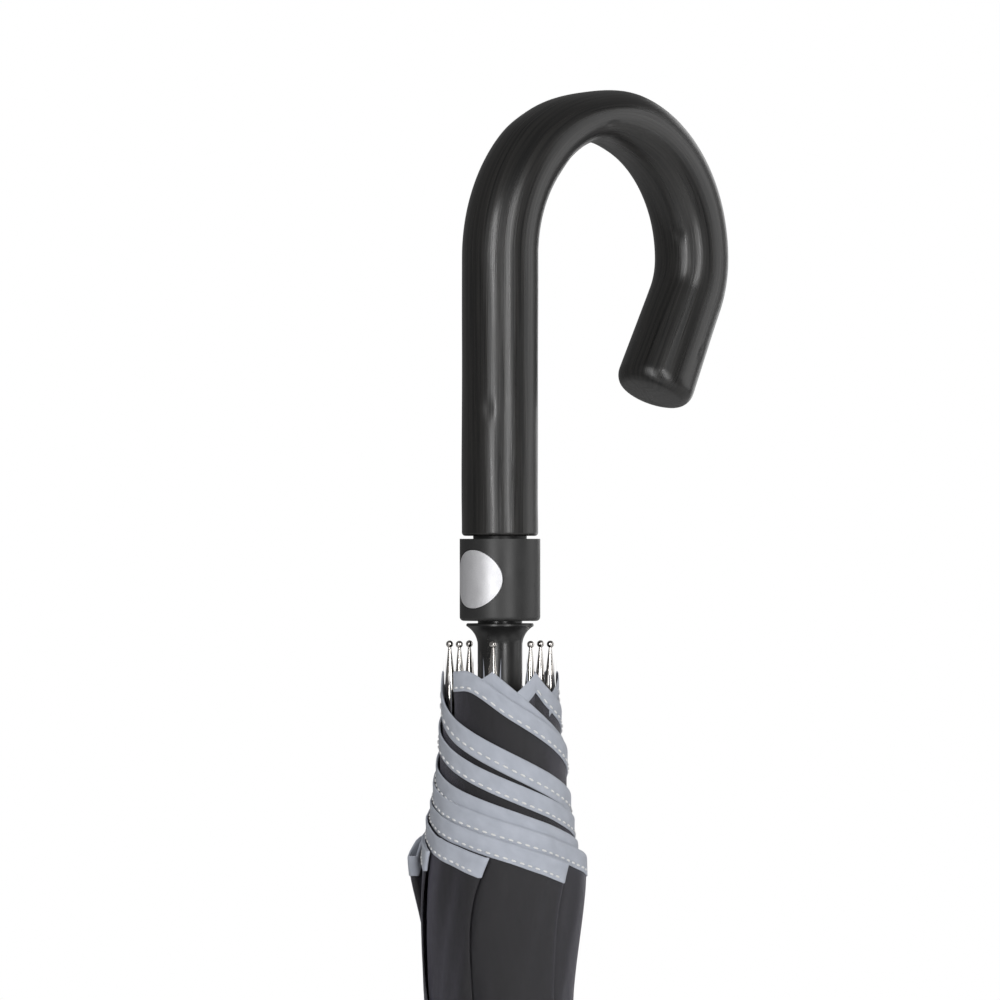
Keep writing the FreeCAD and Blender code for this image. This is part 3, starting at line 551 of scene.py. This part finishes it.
# for each rib: (degrees round the roll from the rib, how far the hem has fallen in mm) along its hem
HEMS = {
    1: [(0, 0), (30, 12), (98, 30), (188, 45), (322, 63)],
    2: [(0, 0), (25, 11), (114, 30), (213, 46), (320, 61)],
    3: [(0, 0), (15, 7), (55, 17), (176, 39), (318, 58)],
    4: [(0, 0), (25, 0.5), (63, 9.5), (122, 22), (200, 37), (304, 56), (316, 62)],
    5: [(0, 0), (67, 18), (150, 33), (220, 46), (305, 60)],
    6: [(0, 0), (15, 5), (53, 12.5), (160, 35), (256, 53), (313, 62)],
    7: [(0, 0), (35, 11), (130, 33), (228, 49), (335, 64)],
    8: [(0, 0), (35, 12), (143, 36), (207, 46), (328, 62)],
}
WRAPS = {rib: math.radians(hem[-1][0]) for rib, hem in HEMS.items()}
FOLD_HEIGHTS = {rib: HEM_Z - hem[-1][1] * MM for rib, hem in HEMS.items()}
FOLD_Z = sum(FOLD_HEIGHTS.values()) / len(FOLD_HEIGHTS)

# how far each fold's end stands out from the roll, in mm
STAND_OUT = {1: 0.8, 2: 0.6, 3: 2.6, 4: 4.2, 5: 0.5, 6: 0.4, 7: 0.6, 8: 1.6}

# width of each gore's tape, in mm
TAPE_WIDTH = {rib: 7.9 if rib == 3 else 6.6 for rib in RIBS}


def rib_azimuth(rib):
    return FIRST_AZIMUTH + (rib - 1) * RIB_STEP


def roll_inner(height):
    """Just outside the closed ribs."""
    return HINGE_RADIUS + RIB_HALF + (height - HINGE_Z) * math.tan(CLOSED_TILT) + ROLL_ROOM


def roll_outer(height):
    return smooth_table(ROLL_OUTER, height)


def fold_turn(rib, height):
    """How far round the roll a pleat's folded edge lies at a height."""
    wrap, fold_z = WRAPS[rib], FOLD_HEIGHTS[rib]
    if height >= fold_z:
        return wrap
    share = max((height - APEX_Z) / (fold_z - APEX_Z), 0.0)
    slack = roll_outer(fold_z) / roll_outer(height)
    below = fold_z - height
    lean = FOLD_LEAN * (1 - math.exp(-below / FOLD_LEAN_START)) * math.exp(-(below / FOLD_LEAN_END) ** 2)
    return max(wrap * share ** FOLD_NARROWING * slack - lean, FOLD_LEAST)


def hem_height(rib, turn):
    """Height of a gore's hem at an angle round the roll from its rib."""
    return HEM_Z - smooth_table(HEMS[rib], math.degrees(turn)) * MM


def creases(azimuth, height):
    """Soft pulls in the wrapped cloth, the same for every layer so that none cross."""
    spiral = azimuth - height * CREASE_LEAN
    pull = noise.noise(Vector((math.cos(spiral) * 1.9, math.sin(spiral) * 1.9, height * 9)))
    fine = noise.noise(Vector((math.cos(spiral) * 5, math.sin(spiral) * 5, height * 20)))
    below = ease((FOLD_Z + 0.03 - height) / 0.05)
    calm = ease((height - APEX_Z) / 0.2)
    depth = pull * CREASE_PULL + fine * CREASE_FINE
    return depth * (CREASE_AT_HEM + (1 - CREASE_AT_HEM) * below) * calm


def pleat_radius(rib, turn, height, inset=0.0):
    """Radius of a pleat at an angle round the roll: it spirals out towards its folded edge."""
    edge = fold_turn(rib, height)
    inner, outer = roll_inner(height), roll_outer(height)
    radius = inner + (outer - inner) * turn / edge
    near_edge = math.exp(-((edge - turn) * outer / FOLD_EDGE_WIDTH) ** 2)
    near_hem = math.exp(-((height - FOLD_HEIGHTS[rib] + FLARE_BELOW) / FLARE_HEIGHT) ** 2)
    lift = (STAND_OUT[rib] * MM * near_hem + FOLD_EDGE_LIFT) * near_edge
    azimuth = rib_azimuth(rib) + turn
    crease = creases(azimuth, height) * (CREASE_INSIDE + CREASE_OUTWARD * turn / edge)
    return radius + lift + crease - inset


def pleat_path():
    """(share of the half gore, layer) along one pleat: out on the face, round the fold, and back."""
    face = [(step / FACE_STEPS, 0.0) for step in range(FACE_STEPS + 1)]
    bend = [(1.0 + BEND_BULGE * math.sin(math.pi * step / BEND_STEPS), step / BEND_STEPS)
            for step in range(1, BEND_STEPS)]
    back = [(1 - BACK_REACH * step / BACK_STEPS, 1.0) for step in range(BACK_STEPS + 1)]
    return face + bend + back


def pleat_rows():
    """Shares of the way down from the hem to the apex, closer together near the hem."""
    return [(step / ROLL_ROWS) ** ROW_CROWDING for step in range(ROLL_ROWS + 1)]


def loop_gap(rib, height):
    """How far apart a pleat's two layers lie at its fold."""
    near_hem = math.exp(-((height - FOLD_HEIGHTS[rib] + FLARE_BELOW) / FLARE_GAP_HEIGHT) ** 2)
    return FOLD_GAP + STAND_OUT[rib] * FLARE_GAP_SHARE * MM * near_hem


def pleat_point(rib, share, layer, height):
    """A point of a pleat: share of the way to its folded edge, on its outer or inner layer."""
    edge = fold_turn(rib, height)
    turn = edge * share
    near_edge = math.exp(-((edge - turn) * roll_outer(height) / FOLD_GAP_WIDTH) ** 2)
    gap = FOLD_GAP + (loop_gap(rib, height) - FOLD_GAP) * near_edge
    radius = pleat_radius(rib, min(turn, edge), height, gap * layer)
    return polar(radius, rib_azimuth(rib) + turn, height)


def canopy_roll(rib):
    """One gore, folded in half and wrapped, from its hem down to the apex."""
    path, rows = pleat_path(), pleat_rows()
    points, uvs = [], []
    for share, layer in path:
        hem = hem_height(rib, WRAPS[rib] * share)
        for row in rows:
            height = hem + (APEX_Z - hem) * row
            points.append(pleat_point(rib, share, layer, height))
            half = HALF_HEM * (height - APEX_Z) / (HEM_Z - APEX_Z)
            uvs.append((half * share * (1 if layer < 0.5 else -1), height))
    faces = grid_faces(len(path), len(rows))
    piece = new_piece(f"canopy_roll_{rib}", points, faces, uvs, ["canopy_fabric"])
    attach(piece, "umbrella")
    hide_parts(f"gore_{rib}")
    return piece


TAPE_RETURN = 0.86
TAPE_RUN = 0.145
TAPE_DRAWN_WIDTH = 7

# (distance below the hem, height over the cloth) round the tape, in mm, from its back to its face
TAPE_SECTION = [
    (6.6, -0.35), (3.0, -0.38), (0.3, -0.36), (-0.22, -0.16), (-0.26, 0.08), (0.0, 0.34),
    (0.5, 0.40), (2.2, 0.36), (4.6, 0.36), (6.2, 0.40), (6.75, 0.42), (7.0, 0.26), (6.9, 0.02),
]


def hem_band(rib):
    """Binding tape folded over the hem, on the face, round the fold's end and a little way back."""
    path = [(share, layer) for share, layer in pleat_path() if layer < 1 or share > TAPE_RETURN]
    points, uvs = [], []
    for share, layer in path:
        hem = hem_height(rib, WRAPS[rib] * share)
        for below, over in TAPE_SECTION:
            height = hem - below * MM * TAPE_WIDTH[rib] / TAPE_DRAWN_WIDTH
            x, y, _ = pleat_point(rib, share, layer, min(height, hem))
            radius = math.hypot(x, y)
            if 0 < layer < 1:
                swell = over * MM * (1 - 2 * layer)
                along = abs(over) * MM / radius
            else:
                swell = over * MM * (1 if layer < 0.5 else -1)
                along = 0.0
            grow = (radius + swell) / radius
            cosine, sine = math.cos(along), math.sin(along)
            points.append(((x * cosine - y * sine) * grow, (x * sine + y * cosine) * grow, height))
            uvs.append((TAPE_RUN * share, -below * MM))
    faces = grid_faces(len(path), len(TAPE_SECTION))
    piece = new_piece(f"hem_tape_{rib}", points, faces, uvs, ["hem_tape"])
    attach(piece, "umbrella")
    return piece


STITCH_LENGTH = 2.1 * MM
STITCH_PITCH = 3.4 * MM
STITCH_BELOW = 5.3 * MM
STITCH_RADIUS = 0.31 * MM
STITCH_OUT = 0.52 * MM
HEM_SLANT = 0.85
STITCH_POINTS = 5
STITCH_FLATNESS = 1.3
FIRST_STITCH = math.radians(2)
LAST_STITCH = math.radians(4)


def capsule(points, faces, uvs, line, radius, sides=6):
    """Adds a round-ended thread along a short line of (place, outward) pairs."""
    first = len(points)
    count = len(line)
    for index, (place, outward, down) in enumerate(line):
        share = index / (count - 1)
        width = radius * math.sqrt(max(1 - (2 * share - 1) ** 6, 0.05))
        for side in range(sides):
            angle = 2 * math.pi * side / sides
            points.append(place + outward * (width * math.cos(angle))
                          + down * (width * STITCH_FLATNESS * math.sin(angle)))
            uvs.append((share * STITCH_LENGTH, angle * radius))
    for index in range(count - 1):
        for side in range(sides):
            a = first + index * sides + side
            b = first + index * sides + (side + 1) % sides
            faces.append((a, b, b + sides, a + sides))
    faces.append(tuple(first + side for side in reversed(range(sides))))
    faces.append(tuple(first + (count - 1) * sides + side for side in range(sides)))


def hem_stitches(rib):
    """The dashes of lockstitch near the tape's lower edge."""
    points, faces, uvs = [], [], []
    wrap = WRAPS[rib]

    def place(turn):
        height = hem_height(rib, turn) - STITCH_BELOW
        x, y, z = pleat_point(rib, turn / wrap, 0.0, height)
        outward = Vector((x, y, 0)).normalized()
        return Vector((x, y, z)) + outward * STITCH_OUT, outward

    turn = FIRST_STITCH
    while turn < wrap - LAST_STITCH:
        radius = pleat_radius(rib, turn, hem_height(rib, turn))
        step = STITCH_LENGTH * HEM_SLANT / radius
        line = []
        for index in range(STITCH_POINTS):
            spot, outward = place(turn + step * index / (STITCH_POINTS - 1))
            line.append((spot, outward, Vector((0, 0, -1))))
        capsule(points, faces, uvs, line, STITCH_RADIUS)
        turn += STITCH_PITCH * HEM_SLANT / radius
    piece = new_piece(f"hem_stitches_{rib}", points, faces, uvs, ["stitch_thread"])
    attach(piece, "umbrella")
    return piece


# for each rib: (degrees, drop in mm) of the hem's short arm on the rib's other side
TUCKS = {1: (28, 9), 2: (28, 9), 3: (20, 6), 5: (18, 4), 6: (40, 12.5), 7: (25, 8), 8: (25, 8)}


TUCK_COLUMNS = 15
TUCK_ROWS = [0.0, 0.05, 0.3, 2.0, 4.0, 6.0, 7.0, 7.2, 12, 20, 30, 42]
TUCK_TAPE_ROWS = 7
TUCK_LIFT = 0.15 * MM
TUCK_TAPE = 0.35 * MM
TUCK_BOW = 0.3 * MM
TUCK_RUN = 16 * MM


def hem_tuck(rib):
    """The other half of the gore at a rib: it drops away to the left and tucks under."""
    degrees, drop = TUCKS[rib]
    points, uvs = [], []
    for column in range(TUCK_COLUMNS):
        share = column / (TUCK_COLUMNS - 1)
        turn = -math.radians(degrees) * share
        hem = HEM_Z - drop * MM * share ** 0.9
        for row, below in enumerate(TUCK_ROWS):
            height = hem - below * MM
            tape = TUCK_TAPE if row < TUCK_TAPE_ROWS else 0.0
            radius = roll_inner(height) + TUCK_LIFT + tape + TUCK_BOW * math.sin(share * 3)
            points.append(polar(radius, rib_azimuth(rib) + turn, height))
            uvs.append((share * TUCK_RUN, -below * MM))
    faces = grid_faces(TUCK_COLUMNS, len(TUCK_ROWS))
    strips = len(TUCK_ROWS) - 1
    face_slots = [1 if index % strips < TUCK_TAPE_ROWS - 1 else 0 for index in range(len(faces))]
    piece = new_piece(f"hem_tuck_{rib}", points, faces, uvs, ["canopy_fabric", "hem_tape"], face_slots)
    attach(piece, "umbrella")
    return piece


def rolled_canopy():
    """All eight wrapped gores with their trims."""
    for rib in RIBS:
        cloth = canopy_roll(rib)
        trims = [hem_band(rib), hem_stitches(rib)]
        if rib in TUCKS:
            trims.append(hem_tuck(rib))
        for piece in [cloth] + trims:
            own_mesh(piece)


# ---------------------------------------------------------------- tie strap
STRAP_LOW, STRAP_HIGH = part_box("tie_strap")
STRAP_RIB = 2
STRAP_OUT = 1.5 * MM
STRAP_OVERLAP = math.radians(55)
STRAP_STEPS = 200
STRAP_STEP_CROWDING = 1.6
STRAP_DOUBLED = 1.3 * MM
STRAP_RAMP = math.radians(14)
STRAP_RAMP_LEAD = 0.15
STRAP_TAIL_PAST_STUD = math.radians(12)
STRAP_LEAST_HEIGHT = 0.05
STRAP_LEAST_THICKNESS = 0.35

# (share of the strap's height, height over the roll in mm) round the strap's section
STRAP_SECTION = [
    (0.0, 0.3), (0.015, 0.8), (0.05, 1.0), (0.075, 0.86), (0.10, 1.0), (0.5, 1.1), (0.90, 1.0),
    (0.925, 0.86), (0.95, 1.0), (0.985, 0.8), (1.0, 0.3), (0.985, 0.05), (0.5, 0.0), (0.015, 0.05),
]


def strap_radius(turn, height):
    """Radius of the strap's inner side: it lies on the roll and rises over its own end."""
    over = ease((turn - 2 * math.pi + STRAP_OVERLAP * STRAP_RAMP_LEAD) / STRAP_RAMP)
    return roll_outer(height) + STRAP_OUT + STRAP_DOUBLED * over


def tie_strap():
    """Doubled cloth strap round the roll, stitched along both edges, with a rounded free end."""
    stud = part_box("strap_snap")
    stud_azimuth = math.atan2(stud[0][1] + stud[1][1], stud[0][0] + stud[1][0])
    total = 2 * math.pi + STRAP_OVERLAP
    start = stud_azimuth + STRAP_TAIL_PAST_STUD - total
    middle = (STRAP_LOW[2] + STRAP_HIGH[2]) / 2
    half = (STRAP_HIGH[2] - STRAP_LOW[2]) / 2
    round_off = half / roll_outer(middle)
    points, uvs = [], []
    for step in range(STRAP_STEPS + 1):
        turn = total * (1 - (1 - step / STRAP_STEPS) ** STRAP_STEP_CROWDING)
        left = max(total - turn, 0.0)
        narrow = 1.0
        if left < round_off:
            narrow = max(math.sqrt(1 - (1 - left / round_off) ** 2), STRAP_LEAST_HEIGHT)
        for share, over in STRAP_SECTION:
            height = middle + half * narrow * (2 * share - 1)
            radius = strap_radius(turn, height) + over * MM * max(narrow, STRAP_LEAST_THICKNESS)
            points.append(polar(radius, start + turn, height))
            uvs.append((turn * radius, share * 2 * half))
    around = len(STRAP_SECTION)
    faces = []
    for step in range(STRAP_STEPS):
        for side in range(around):
            a, b = step * around + side, step * around + (side + 1) % around
            faces.append((a, a + around, b + around, b))
    faces.append(tuple(reversed(range(around))))
    faces.append(tuple(STRAP_STEPS * around + side for side in range(around)))
    piece = new_piece("tie_strap_band", points, faces, uvs, ["canopy_fabric"])
    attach(piece, f"rib_{STRAP_RIB}")
    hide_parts("tie_strap")
    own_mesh(piece)


# ---------------------------------------------------------------- opened canopy
GORE_SAG = 0.022
GORE_STEPS = 36
GORE_ROWS = 56
TAPE_ROWS = 4
SEAM_SPREAD = 6 * MM
HEM_SCALLOP = 0.05
SCALLOP_POWER = 6
GORE_TOP = 0.02
TIP_ROOM = 2 * MM
OPEN_TAPE = 7 * MM
RIB_TOP = 1.85 * MM


def opened_gore_rows():
    """Distances along the rib from the apex to the hem, with the tape's rows last."""
    cloth_end = RIB_LENGTH - TIP_ROOM - OPEN_TAPE
    cloth = [cloth_end * (GORE_TOP + (1 - GORE_TOP) * row / GORE_ROWS) for row in range(GORE_ROWS + 1)]
    return cloth + [cloth_end + OPEN_TAPE * row / TAPE_ROWS for row in range(1, TAPE_ROWS + 1)]


def opened_gore_point(rib, across, along):
    """Where a point of the taut gore lies at rest, when its panel is folded along its rib.

    Opening turns the rib outwards and then the panel sideways by 45 degrees, so the taut shape
    is worked out first and turned back."""
    tilt = math.pi / 2 - (CLOSED_TILT + OPENING_TURN)
    bow = 1 - (2 * across - 1) ** 2
    reach = along * (1 - HEM_SCALLOP * bow * (along / RIB_LENGTH) ** SCALLOP_POWER)
    radius = HINGE_RADIUS + reach * math.cos(tilt) + RIB_TOP * math.sin(tilt)
    height = HINGE_Z + reach * math.sin(tilt) - RIB_TOP * math.cos(tilt)
    radius_here = radius * math.cos(RIB_STEP / 2) / math.cos(RIB_STEP * across - RIB_STEP / 2)
    height_here = height - GORE_SAG * radius * bow
    out, up = radius_here - HINGE_RADIUS, height_here - HINGE_Z
    turned_out = out * math.cos(OPENING_TURN) - up * math.sin(OPENING_TURN)
    turned_up = out * math.sin(OPENING_TURN) + up * math.cos(OPENING_TURN)
    place = 0.5 - math.sin(math.asin(1 - 2 * across) / 3)
    outward = Vector(polar(1, rib_azimuth(rib), 0))
    sideways = Vector((-outward.y, outward.x, 0))
    return (outward * (HINGE_RADIUS + turned_out) + sideways * (SEAM_SPREAD * (place - 0.5))
            + Vector((0, 0, HINGE_Z + turned_up)))


def opened_gore(rib):
    """The gore between two ribs, folded flat along its rib at rest."""
    rows = opened_gore_rows()
    points, uvs = [], []
    for column in range(GORE_STEPS + 1):
        across = column / GORE_STEPS
        for along in rows:
            points.append(opened_gore_point(rib, across, along))
            uvs.append(((across - 0.5) * along * RIB_STEP, along))
    faces = grid_faces(GORE_STEPS + 1, len(rows))
    strips = len(rows) - 1
    slots = [1 if index % strips >= strips - TAPE_ROWS else 0 for index in range(len(faces))]
    piece = new_piece(f"canopy_gore_{rib}", points, faces, uvs, ["canopy_fabric", "hem_tape"], slots)
    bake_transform(piece)


def opened_canopy():
    """All eight gores of the open canopy."""
    for rib in RIBS:
        opened_gore(rib)


# ---------------------------------------------------------------- studio
CAMERA_DISTANCE = 6.0
FIELD = 0.335
AIM_Z = 705.5 * MM
BACKDROP_LIGHT = 0.17
FLOOR_RADIUS = 1.6
FLOOR_DROP = 0.5 * MM
SENSOR_WIDTH = 36

# name, bearing from the camera's own in degrees, height, distance, size and power of each soft box
SOFT_BOXES = [
    ("key_left", -20, 0.95, 1.7, (0.16, 1.5), 14),
    ("key_right", 26, 0.95, 1.7, (0.20, 1.5), 13),
    ("fill_right", 100, 0.9, 1.6, (1.2, 1.6), 7),
    ("back_right", 155, 0.8, 1.9, (0.8, 1.4), 4),
]


def area_light(name, bearing, height, distance, size, power):
    """A soft box at a compass bearing from the camera's own, in degrees, facing the object."""
    data = bpy.data.lights.new(name, "AREA")
    data.shape = "RECTANGLE"
    data.size, data.size_y = size
    data.energy = power
    light = bpy.data.objects.new(name, data)
    turn = CAMERA_BEARING + math.radians(bearing)
    light.location = Vector(polar(distance, turn, height))
    look = Vector((0, 0, AIM_Z)) - light.location
    light.rotation_euler = look.to_track_quat("-Z", "Y").to_euler()
    bpy.context.scene.collection.objects.link(light)


def studio():
    """A round pale floor, the white backdrop and the soft boxes."""
    floor_mesh = bpy.data.meshes.new("floor")
    build = bmesh.new()
    bmesh.ops.create_circle(build, cap_ends=True, segments=96, radius=FLOOR_RADIUS)
    build.to_mesh(floor_mesh)
    build.free()
    floor = bpy.data.objects.new("floor", floor_mesh)
    floor.location.z = -FLOOR_DROP
    bpy.context.scene.collection.objects.link(floor)
    pale = Surface("pale_floor", (0.86, 0.86, 0.86), 0.7)
    pale.plug(pale.span(pale.noise(pale.place("Object", (1, 1, 1)), 6.0), 0.62, 0.78), "Roughness")
    floor_mesh.materials.append(pale.material)

    white_backdrop()
    bpy.context.scene.view_settings.view_transform = "Standard"

    for soft_box in SOFT_BOXES:
        area_light(*soft_box)


def white_backdrop():
    """A white backdrop behind the object that lights it only a little."""
    world = bpy.data.worlds.new("studio")
    world.use_nodes = True
    nodes, links = world.node_tree.nodes, world.node_tree.links
    seen = nodes["Background"]
    seen.inputs["Color"].default_value = (1, 1, 1, 1)
    lighting = nodes.new("ShaderNodeBackground")
    lighting.inputs["Color"].default_value = (1, 1, 1, 1)
    lighting.inputs["Strength"].default_value = BACKDROP_LIGHT
    ray = nodes.new("ShaderNodeLightPath")
    choose = nodes.new("ShaderNodeMixShader")
    links.new(ray.outputs["Is Camera Ray"], choose.inputs["Fac"])
    links.new(lighting.outputs["Background"], choose.inputs[1])
    links.new(seen.outputs["Background"], choose.inputs[2])
    links.new(choose.outputs["Shader"], nodes["World Output"].inputs["Surface"])
    bpy.context.scene.world = world


def camera():
    data = bpy.data.cameras.new("photo_view")
    data.sensor_width = SENSOR_WIDTH
    data.lens = data.sensor_width * CAMERA_DISTANCE / FIELD
    data.clip_end = 20
    view = bpy.data.objects.new("photo_view", data)
    view.location = TOWARDS_CAMERA * CAMERA_DISTANCE + Vector((0, 0, AIM_Z))
    view.rotation_euler = (-TOWARDS_CAMERA).to_track_quat("-Z", "Y").to_euler()
    bpy.context.scene.collection.objects.link(view)
    bpy.context.scene.camera = view


finish_cad_nodes()
crook_handle()
rolled_canopy()
tie_strap()
opened_canopy()
studio()
camera()
